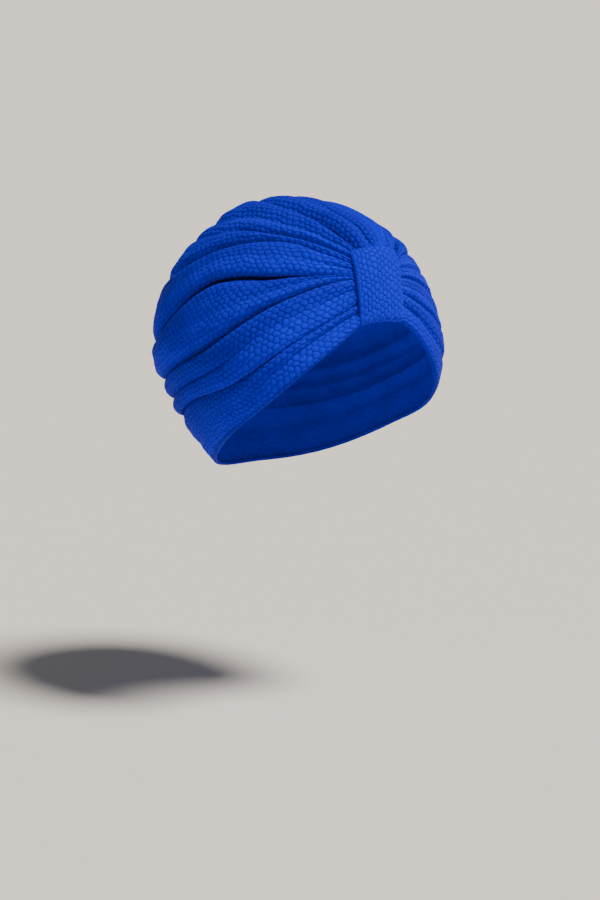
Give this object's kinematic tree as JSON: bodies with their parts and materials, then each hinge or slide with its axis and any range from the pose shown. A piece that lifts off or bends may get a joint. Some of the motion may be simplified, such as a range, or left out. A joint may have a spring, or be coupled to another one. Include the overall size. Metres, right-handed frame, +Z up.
{
  "type": "turban headwrap",
  "caption": "Stretch jersey turban worn as a cap, its folds fanning back from a gather at the centre front that a flat keeper loop closes.",
  "frame": {"origin": "centre of the head inside the wrap, at its widest level", "axes": "+Z up, the gather and its loop face -Y, the wearer's right is -X"},
  "size_m": [0.1867, 0.2051, 0.1938],
  "materials": {
    "crown_jersey": "matte honeycomb relief",
    "band_jersey": "matte honeycomb relief"
  },
  "bodies": {
    "root": {"crown": "crown_jersey", "front_band": "band_jersey"}
  },
  "joints": []
}
